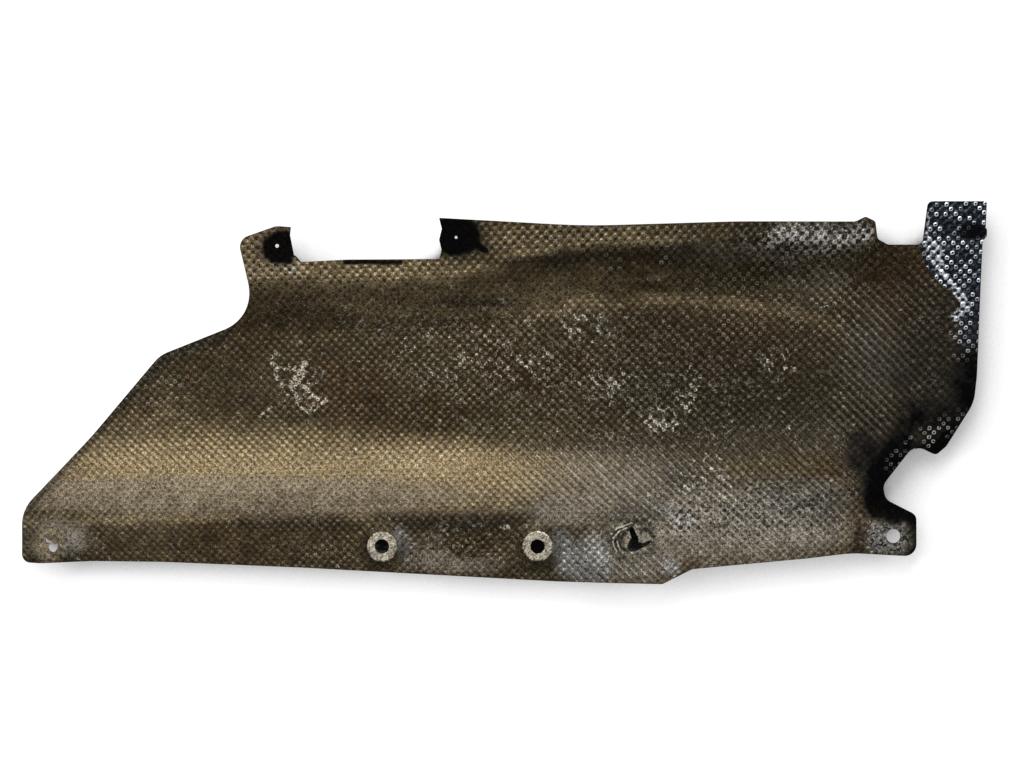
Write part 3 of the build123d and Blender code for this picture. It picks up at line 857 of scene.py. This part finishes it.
    def crumple(self) -> None:
        """Bends the metal round the torn seat and the corner seat."""
        points = points_of(self.sheet)
        across, up = SCALE.beside(points, self.torn_seat)
        radius = np.hypot(across, up)
        left = ease(-across, *self.crease_side)
        ring = ease(radius, *self.crease_inner) * ease(radius, *self.crease_outer)
        waves = np.sin(2 * math.pi * (radius - self.crease_start) / self.crease_pitch)
        rise = self.crease * waves * ring * left
        rise -= self.dish.drop(across, up) * left + self.flap.drop(across, up)
        across, up = SCALE.beside(points, self.corner_seat)
        (a, b), (c, d) = self.ripple_first, self.ripple_second
        waves = np.sin(a * across + b * up + self.ripple_start) * np.sin(c * across + d * up)
        rise += self.ripple * waves * ease(np.hypot(across, up), *self.ripple_reach)
        rise -= self.corner_hollow.drop(across, up)
        points[:, 2] += rise
        move_points(self.sheet, points)

    def face_normals(self) -> np.ndarray:
        """Normal of the plain pressed face at each point, taken before the embossing.

        Returns:
            One row for each vertex.
        """
        mesh = self.sheet.data
        normals, areas = read(mesh.polygons, "normal", 3), read(mesh.polygons, "area")
        open_face = np.abs(normals[:, 2]) > self.wall_slope
        share = normals * (areas * open_face)[:, None]
        share = np.repeat(share, read(mesh.polygons, "loop_total", kind=int), axis=0)
        summed = np.zeros((len(mesh.vertices), 3))
        np.add.at(summed, read(mesh.loops, "vertex_index", kind=int), share)
        return summed / np.maximum(np.linalg.norm(summed, axis=1, keepdims=True), self.least_normal)

    def openness(self) -> np.ndarray:
        """Marks the points away from the cut edges.

        Returns:
            0 for each vertex on a cut edge and 1 for the others.
        """
        free = np.ones(len(self.sheet.data.vertices))
        for face in self.sheet.data.polygons:
            if abs(face.normal.z) < self.wall_slope:
                free[list(face.vertices)] = 0.0
        return free

    def relief(self, points: np.ndarray) -> np.ndarray:
        """Share of the embossing that is left: none where nuts pressed it flat, less where it is worn.

        Args:
            points: rows of x and y in metres.

        Returns:
            One share for each point.
        """
        left = self.away(points, self.bolt_seats, self.bolt_relief)
        for seat, least, span in (
            (self.torn_seat, self.torn_left, self.torn_relief),
            (self.corner_seat, self.corner_left, self.corner_relief),
        ):
            left *= least + (1.0 - least) * self.away(points, (seat,), span)
        return left * self.bare(points, Layer.RELIEF)

    def bare(self, points: np.ndarray, layer: Layer) -> np.ndarray:
        """Share of the metal that the marks of a layer leave bare at each point."""
        x, y = SCALE.picture(points)
        return np.prod([np.ones(len(x)), *(1.0 - mark.cover(x, y) for mark in MARKS.get(layer, ()))], axis=0)

    def weigh(self, name: str, weights: np.ndarray, levels: int = 20) -> None:
        """Sets a vertex group, in a few even levels.

        Args:
            name: the group's name.
            weights: one weight for each vertex, from 0 to 1.
            levels: how many levels the weights are rounded to.
        """
        group = self.sheet.vertex_groups.new(name=name)
        rounded = np.rint(weights * levels).astype(int)
        for level in range(levels + 1):
            group.add(np.nonzero(rounded == level)[0].tolist(), level / levels, "REPLACE")

    def emboss(self) -> None:
        """Rolls the two crossed waves into both faces, and keeps their coordinates on the points."""
        points = points_of(self.sheet)
        points[:, 2] += self.embossing.height(points) * self.relief(points)
        move_points(self.sheet, points)
        lattice = np.zeros_like(points)
        lattice[:, :2] = self.embossing.lattice(points)
        kept = self.sheet.data.attributes.new(self.embossing.coordinates, "FLOAT_VECTOR", "POINT")
        kept.data.foreach_set("vector", lattice.astype(np.float32).ravel())

    def paint(self) -> None:
        """Keeps one value for each layer on the points: the marks above, plainer and greyer metal below."""
        mesh = self.sheet.data
        points = points_of(self.sheet)
        group = self.sheet.vertex_groups[Face.LOWER.name].index
        under = np.array([any(g.group == group and g.weight > 0.5 for g in v.groups) for v in mesh.vertices])
        for layer in Layer:
            value = np.where(under, self.under_marks, 1.0) * (1.0 - self.bare(points, layer))
            if layer is Layer.GREY:
                value = np.where(under, self.under_grey, value)
            elif layer is Layer.EDGE:
                value = 1.0 - self.openness()
            elif layer is Layer.RELIEF:
                value = self.relief(points)
            kept = mesh.attributes.new(layer.value, "FLOAT", "POINT")
            kept.data.foreach_set("value", value.astype(np.float32))

    def close(self, normals: np.ndarray) -> None:
        """Removes helper groups, splits the faces into triangles and shades them by the pressed face.

        Args:
            normals: normal of the pressed face at each vertex.
        """
        self.sheet.vertex_groups.clear()
        modify(self.sheet, "TRIANGULATE")
        bpy.ops.object.shade_smooth()
        mesh = self.sheet.data
        own = np.repeat(read(mesh.polygons, "normal", 3), 3, axis=0)
        corners = read(mesh.loops, "vertex_index", kind=int)
        on_wall = np.abs(own[:, 2:]) < self.wall_slope
        mesh.normals_split_custom_set(np.where(on_wall, own, normals[corners]))


@dataclass(frozen=True)
class EmbossShade:
    """The embossing as the finish sees it: height, rings round peaks, ridges, chances of peaks and pits."""

    name: str = "embossing"
    outputs: tuple[str, ...] = ("Height", "Even Height", "Ring", "Ridge", "Peak Chance", "Pit Chance")

    def make(self) -> bpy.types.NodeTree:
        """Makes the node group.

        Returns:
            The group. Its inputs are the coordinates along the two waves and how far the first one leads.
        """
        tree = bpy.data.node_groups.new(self.name, "ShaderNodeTree")
        tree.interface.new_socket("Lattice", in_out="INPUT", socket_type="NodeSocketVector")
        tree.interface.new_socket("Lead", in_out="INPUT", socket_type="NodeSocketFloat")
        for output in self.outputs:
            tree.interface.new_socket(output, in_out="OUTPUT", socket_type="NodeSocketFloat")
        g = Graph(tree)
        given = g.add("NodeGroupInput", {}).outputs
        lattice, lead = given["Lattice"], given["Lead"]
        parts = g.add("ShaderNodeSeparateXYZ", {0: g.vector("MULTIPLY", lattice, (2 * math.pi,) * 3)})
        first, second = (g.math("SINE", parts.outputs[axis]) for axis in (0, 1))
        even = g.times(g.math("ADD", first, second), 0.5)
        tilt = g.times(g.math("SUBTRACT", first, second), 0.5)
        height = g.math("ADD", even, g.times(tilt, lead))
        chances = []
        for shift in (0.25, -0.25):
            cell = g.vector("FLOOR", g.vector("ADD", lattice, (shift, shift, 0.5)), (0.0,) * 3)
            chances.append(g.add("ShaderNodeTexWhiteNoise", {"Vector": cell}).outputs["Value"])
        ring = g.times(g.step(even, 0.15, 0.38), g.step(even, 0.88, 0.68))
        made = (height, even, ring, g.step(first, 0.55, 0.95), *chances)
        g.add("NodeGroupOutput", dict(zip(self.outputs, made)))
        return tree


class Surface:
    """What the finish is mixed from: painted layers, noises from broad to fine, and the embossing."""

    def __init__(self, g: Graph, embossing: Embossing) -> None:
        """Adds the nodes.

        Args:
            g: the material's graph.
            embossing: the pattern of the sheet.
        """
        place = g.add("ShaderNodeTexCoord", {}).outputs["Object"]
        self.layers = {layer: g.attribute(layer.value, "Fac") for layer in Layer}
        self.broad = g.noise(place, 55 * MM, 3.0)
        self.blot = g.noise(place, 10 * MM, 5.0, 0.62)
        self.drift = g.noise(place, 9 * MM, 2.0, 0.5, 0.5)
        self.fleck = g.noise(place, 2.8 * MM, 4.0, 0.7, 0.8)
        self.grain = g.noise(place, 1.9 * MM, 2.0, 0.6)
        self.fine = g.noise(place, 0.85 * MM, 1.0)
        self.ragged = g.math("ADD", g.times(self.blot, 0.6), g.times(self.fleck, 0.4))
        lattice = g.bent(g.attribute(embossing.coordinates, "Vector"), place, 5 * MM, 0.12)
        inputs = {"Lattice": lattice, "Lead": self[Layer.RIDGES]}
        stamped = g.add("ShaderNodeGroup", inputs, node_tree=EmbossShade().make()).outputs
        self.height, self.even, self.ring, ridge, self.peak_chance, self.pit_chance = stamped
        self.ridge = g.times(ridge, self[Layer.RIDGES])

    def __getitem__(self, layer: Layer) -> Socket:
        """Value of one painted layer."""
        return self.layers[layer]


@dataclass(frozen=True)
class SheetFinish:
    """Heat-stained aluminium: burnt ground, cleaner stretches, dirt, corrosion, soot and bare metal, with
    painted highlights and shade.
    """

    embossing: Embossing = field(default_factory=Embossing)
    name: str = "stained_aluminium"
    umber: Colour = (0.034, 0.0220, 0.0085)
    olive: Colour = (0.044, 0.0335, 0.0160)
    # Warm cleaner metal, also used for painted highlights and painted light
    tan: Colour = (0.170, 0.126, 0.066)
    grey: Colour = (0.165, 0.142, 0.108)
    # Bare blue-grey metal, also used for painted highlights
    steel_and_highlight: Colour = (0.200, 0.194, 0.180)
    rust: Colour = (0.055, 0.030, 0.013)
    # Dark dirt, also used for painted shade
    grime_and_shade: Colour = (0.017, 0.013, 0.0075)
    dirt: Colour = (0.006, 0.0045, 0.003)
    pale: Colour = (0.300, 0.255, 0.180)
    crust: Colour = (0.52, 0.475, 0.385)
    # Pale nut rings, also used for painted highlights along the torn seat's creases
    seat: Colour = (0.50, 0.45, 0.36)
    nub: Colour = (0.42, 0.41, 0.39)
    navy: Colour = (0.007, 0.008, 0.012)
    slate: Colour = (0.030, 0.036, 0.048)
    silver: Colour = (0.68, 0.73, 0.78)
    soot: Colour = (0.0042, 0.0042, 0.0050)
    specular: float = 0.2
    grain_depth: float = 0.08 * MM
    grain_strength: float = 0.8

    def make(self) -> bpy.types.Material:
        """Makes the material.

        Returns:
            The material.
        """
        material = bpy.data.materials.new(self.name)
        material.use_nodes = True
        g = Graph(material.node_tree)
        s = Surface(g, self.embossing)
        seat = g.broken(s[Layer.SEAT], s.fleck, 0.7, 0.15)
        bumpy = g.rest(seat)
        grit = g.times(s[Layer.GRIT], bumpy)
        crusted = self.corroded(g, s)
        shiny = g.broken(s[Layer.SILVER], s.blot, 0.3, 0.1)
        soot = g.broken(s[Layer.SOOT], s.ragged, 2.0, 0.40)

        colour, soft = self.stained(g, s)
        flakes = g.times(g.step(s.fleck, 0.52, 0.66), grit, 0.6)
        colour = g.mix(flakes, colour, self.crust)
        colour = self.worn(g, s, colour, soft)
        colour = g.mix(crusted, colour, self.crust)
        # Pale nut rings, and painted highlights along the torn seat's creases
        colour = g.mix(seat, colour, g.mix(g.step(s.fleck, 0.34, 0.58), self.grey, self.seat))
        plain, coarse = (g.spread(s.fine, (0.36, 0.64), ends) for ends in ((0.50, 1.50), (0.35, 1.75)))
        colour = g.mix(1.0, colour, g.mix(grit, plain, coarse), "MULTIPLY")
        colour = self.burnt(g, s, colour, shiny, soot)

        dull = g.most(crusted, soft[Layer.GREY])
        metal = g.most(g.math("SUBTRACT", 0.75, g.times(dull, 0.5)), soot)
        rough = g.math("ADD", g.spread(s.grain, (0.3, 0.7), (0.36, 0.52)), g.times(dull, 0.22))
        rough = g.math("SUBTRACT", rough, g.times(shiny, 0.16))
        rough = g.math("ADD", rough, g.times(soot, 0.4), clamp=True)
        values = {"Base Color": colour, "Metallic": metal, "Roughness": rough}
        values |= {"Normal": self.bumps(g, s, bumpy), "Specular IOR Level": self.specular}
        shader = g.add("ShaderNodeBsdfPrincipled", values)
        g.add("ShaderNodeOutputMaterial", {"Surface": shader.outputs[0]})
        return material

    def stained(self, g: Graph, s: Surface) -> tuple[Socket, dict[Layer, Socket]]:
        """Burnt ground with its stains, and the painted highlights and shade that some of its layers carry.

        Args:
            g: the material's graph.
            s: the values it is mixed from.

        Returns:
            The colour, and each layer's uneven share.
        """
        colour = g.mix(g.step(s.broad, 0.38, 0.62), self.umber, self.olive)
        soft = {}
        # Some of these layers also carry painted highlights, painted light and painted shade
        for layer, paint, spread in (
            (Layer.TAN, self.tan, 0.9),
            (Layer.GREY, self.grey, 1.2),
            (Layer.STEEL_AND_HIGHLIGHT, self.steel_and_highlight, 1.2),
            (Layer.RUST, self.rust, 1.5),
            (Layer.GRIME_AND_SHADE, self.grime_and_shade, 1.2),
        ):
            soft[layer] = g.mottled(s[layer], s.ragged, spread)
            colour = g.mix(soft[layer], colour, paint)
        return g.mix(1.0, colour, g.spread(s.blot, (0.3, 0.7), (0.65, 1.35)), "MULTIPLY"), soft

    def worn(self, g: Graph, s: Surface, colour: Socket, soft: dict[Layer, Socket]) -> Socket:
        """Adds rubbed nubs and ridges, a pale net where the pits are eaten, dirt in the pits and specks.

        Args:
            g: the material's graph.
            s: the values it is mixed from.
            colour: the stained ground.
            soft: each layer's uneven share.

        Returns:
            The colour.
        """
        rubbed = g.times(s.ring, g.step(s.peak_chance, 0.0, 0.8), g.step(s.fleck, 0.34, 0.50))
        colour = g.mix(g.times(rubbed, s[Layer.DOTS]), colour, self.pale)
        worn = g.times(s.ridge, soft[Layer.GREY], g.step(s.fleck, 0.40, 0.54))
        colour = g.mix(g.times(worn, 0.8), colour, self.nub)
        pits = s[Layer.PITS]
        eaten = g.step(pits, 0.85, 1.0)
        net = g.times(g.step(s.even, -0.55, -0.15), g.step(s.ragged, 0.45, 0.55), g.rest(soft[Layer.GRIME_AND_SHADE]))
        colour = g.mix(g.times(net, eaten, 0.9), colour, self.nub)
        depth = g.times(pits, g.math("MULTIPLY_ADD", s.pit_chance, -0.8, 0.35))
        depth = g.math("SUBTRACT", depth, g.times(eaten, 0.4))
        dirty = g.times(g.step(g.math("ADD", s.even, depth), -0.36, -0.72), g.step(s.fleck, 0.64, 0.52))
        colour = g.mix(g.times(dirty, g.spread(pits, (0.0, 1.0), (0.3, 0.9))), colour, self.dirt)
        specks = g.most(g.step(s.fleck, 0.44, 0.38), g.step(s.grain, 0.40, 0.34))
        return g.mix(g.times(specks, s[Layer.SPECKS]), colour, self.dirt)

    def corroded(self, g: Graph, s: Surface) -> Socket:
        """Mask of the white corrosion, in chains along the embossing and in lumps.

        Args:
            g: the material's graph.
            s: the values it is mixed from.

        Returns:
            The mask.
        """
        near = g.math("ABSOLUTE", g.math("SUBTRACT", s.drift, 0.5))
        chain = g.step(g.math("SUBTRACT", g.times(s[Layer.WEB], 0.06), near), -0.01, 0.02)
        linked = g.times(g.most(s.ring, s.ridge, 0.12), g.step(s.fleck, 0.40, 0.56))
        chain = g.times(chain, linked, g.step(s[Layer.WEB], 0.05, 0.3))
        lumps = g.most(s.ring, g.times(g.step(s.fleck, 0.46, 0.58), 0.55))
        lumps = g.times(lumps, g.step(s.grain, 0.34, 0.46), g.broken(s[Layer.CRUST], s.ragged, 2.0, 0.25))
        return g.most(chain, lumps)

    def burnt(self, g: Graph, s: Surface, colour: Socket, shiny: Socket, soot: Socket) -> Socket:
        """Adds the shiny dark metal with its rings and foil, the soot with bared rings, and the cut edges.

        Args:
            g: the material's graph.
            s: the values it is mixed from.
            colour: the worn sheet.
            shiny: mask of the shiny metal.
            soot: mask of the soot.

        Returns:
            The colour.
        """
        colour = g.mix(shiny, colour, g.mix(g.step(s.grain, 0.44, 0.66), self.navy, self.slate))
        foil = g.broken(s[Layer.FOIL], s.fleck, 2.4, 0.2)
        foil = g.times(foil, g.spread(s.grain, (0.38, 0.58), (0.05, 1.0)), g.step(s.even, -0.6, 0.1))
        bright = g.times(s.ring, shiny, g.step(s.peak_chance, 0.2, 1.0))
        colour = g.mix(g.most(bright, foil), colour, self.silver)
        colour = g.mix(g.times(soot, 0.93), colour, self.soot)
        bared = g.times(g.step(s.peak_chance, 0.3, 0.7), g.step(s.fleck, 0.36, 0.5))
        colour = g.mix(g.times(s.ring, bared, s[Layer.NUBS]), colour, self.nub)
        return g.mix(g.step(s[Layer.EDGE], 0.5, 0.95), colour, self.soot)

    def bumps(self, g: Graph, s: Surface, bumpy: Socket) -> Socket:
        """Normal of the embossing between the mesh's points, with a fine grain.

        Args:
            g: the material's graph.
            s: the values it is mixed from.
            bumpy: where there is a grain.

        Returns:
            The normal.
        """
        stamped = g.times(s.height, s[Layer.RELIEF], g.spread(s.blot, (0.35, 0.65), (0.6, 1.2)))
        values = {"Strength": 1.0, "Distance": 2 * self.embossing.wave, "Height": stamped}
        normal = g.add("ShaderNodeBump", values).outputs[0]
        values = {"Strength": self.grain_strength, "Distance": self.grain_depth}
        values |= {"Height": g.times(s.grain, bumpy), "Normal": normal}
        return g.add("ShaderNodeBump", values).outputs[0]


@dataclass(frozen=True)
class FloorFinish:
    """Pale floor: lit as white card, painted dark where the sheet covers it, and lifted to white where the
    camera sees it with nothing near above it.

    A painted soft shadow lies beside the sheet, on the sides that look away from the upper left.
    """

    name: str = "pale_floor"
    white: Colour = (0.24, 0.24, 0.24)
    # Floor colour where the sheet covers it: painted shade
    dark: Colour = (0.03, 0.03, 0.03)
    lift: float = 0.84
    reach: float = 250.0 * MM
    covered: Pair = (0.31, 0.42)
    cover_rays: int = 16
    light_side: tuple[float, float, float] = (-0.65, 0.50, 0.57)
    shade_reach: float = 40.0 * MM
    shaded: Pair = (0.65, 0.84)
    shade: float = 0.44
    shade_rays: int = 8

    def make(self) -> bpy.types.Material:
        """Makes the material.

        Returns:
            The material.
        """
        material = bpy.data.materials.new(self.name)
        material.use_nodes = True
        g = Graph(material.node_tree)
        rays = g.add("ShaderNodeLightPath", {}).outputs
        seen = g.most(rays["Is Camera Ray"], rays["Is Glossy Ray"], rays["Is Transmission Ray"])
        above = g.add("ShaderNodeAmbientOcclusion", {"Distance": self.reach}, samples=self.cover_rays)
        clear = g.step(above.outputs["AO"], *self.covered)
        # Occlusion leaning to the upper left gives the painted shadow beside the sheet
        side = g.add("ShaderNodeCombineXYZ", dict(enumerate(self.light_side))).outputs[0]
        values = {"Distance": self.shade_reach, "Normal": side}
        beside = g.add("ShaderNodeAmbientOcclusion", values, samples=self.shade_rays)
        light = g.spread(beside.outputs["AO"], self.shaded, (self.shade, 1.0))
        # Painted shade: the floor's colour turns dark where the sheet covers it
        lit = g.add("ShaderNodeBsdfDiffuse", {"Color": g.mix(clear, self.dark, self.white)})
        # The lift fades under the sheet and beside it, a painted shadow
        glow = g.add("ShaderNodeEmission", {"Strength": g.times(seen, self.lift, clear, light)})
        both = g.add("ShaderNodeAddShader", {0: lit.outputs[0], 1: glow.outputs[0]})
        g.add("ShaderNodeOutputMaterial", {"Surface": both.outputs[0]})
        return material


@dataclass(frozen=True)
class Lamp:
    """A square soft lamp aimed at the sheet's middle."""

    name: str
    place: tuple[float, float, float]
    side: float
    level: float
    mirrored: bool = True

    def make(self) -> None:
        """Adds the lamp, with the power that gives its level on a surface that faces it."""
        bpy.ops.object.light_add(type="AREA", location=self.place)
        lamp = bpy.context.active_object
        lamp.name = self.name
        lamp.data.shape = "SQUARE"
        lamp.data.size = self.side
        lamp.data.energy = self.level * (math.pi * Vector(self.place).length) ** 2
        lamp.visible_glossy = self.mirrored
        lamp.rotation_euler = Vector(self.place).to_track_quat("Z", "Y").to_euler()


@dataclass
class Studio:
    """Floor, lamps, surrounding light and camera."""

    floor_side: float = 16.0
    surround: float = 0.36
    lens: float = 200.0
    sensor: float = 36.0
    clip_end: float = 100.0
    scale_height: float = 0.73
    lamps: tuple[Lamp, ...] = (
        Lamp("key_lamp", (-0.15, 1.35, 2.1), 1.2, 0.72),
        Lamp("side_lamp", (-1.90, 0.20, 1.2), 0.6, 0.75, False),
    )

    def build(self, lowest: float) -> None:
        """Makes the whole studio.

        Args:
            lowest: height of the object's lowest point.
        """
        self.floor(lowest)
        self.sky()
        for lamp in self.lamps:
            lamp.make()
        self.camera()

    def floor(self, lowest: float) -> None:
        """Lays the floor.

        Args:
            lowest: its height.
        """
        bpy.ops.mesh.primitive_plane_add(size=self.floor_side, location=(0.0, 0.0, lowest))
        floor = bpy.context.active_object
        floor.name = "floor"
        floor.data.materials.append(FloorFinish().make())
        floor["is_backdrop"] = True

    def sky(self) -> None:
        """Even surrounding light, white where the camera sees it."""
        world = bpy.data.worlds.new("surround")
        bpy.context.scene.world = world
        world.use_nodes = True
        g = Graph(world.node_tree)
        seen = g.add("ShaderNodeLightPath", {}).outputs["Is Camera Ray"]
        strength = g.spread(seen, (0.0, 1.0), (self.surround, 1.0))
        light = g.add("ShaderNodeBackground", {"Color": (1.0, 1.0, 1.0, 1.0), "Strength": strength})
        g.add("ShaderNodeOutputWorld", {"Surface": light.outputs[0]})

    def camera(self) -> None:
        """Sets the camera straight above the middle of the picture, to its scale on the upper face."""
        width = SCALE.frame_px[0] * SCALE.metres
        x, y = SCALE.place(SCALE.frame_px[0] / 2, SCALE.frame_px[1] / 2)
        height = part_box(NODE)[1].z * self.scale_height + width * self.lens / self.sensor
        bpy.ops.object.camera_add(location=(x, y, height), rotation=(0.0, 0.0, 0.0))
        camera = bpy.context.active_object
        camera.data.lens = self.lens
        camera.data.sensor_width = self.sensor
        camera.data.clip_end = self.clip_end
        bpy.context.scene.camera = camera


def main() -> None:
    """Builds the sheet and the studio."""
    logging.basicConfig(level=logging.INFO, format="%(name)s: %(message)s")
    bpy.context.scene.view_settings.view_transform = "Standard"
    sheet = EmbossedSheet(cad=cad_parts[NODE]).build()
    sheet.data.materials.clear()
    sheet.data.materials.append(SheetFinish().make())
    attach(sheet, "root")
    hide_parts(NODE)
    log.info("%s: %d triangles", sheet.name, len(sheet.data.polygons))
    low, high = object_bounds()
    Studio().build(low.z)
    log.info("box %s to %s", list(low), list(high))


if __name__ == "__main__":
    main()
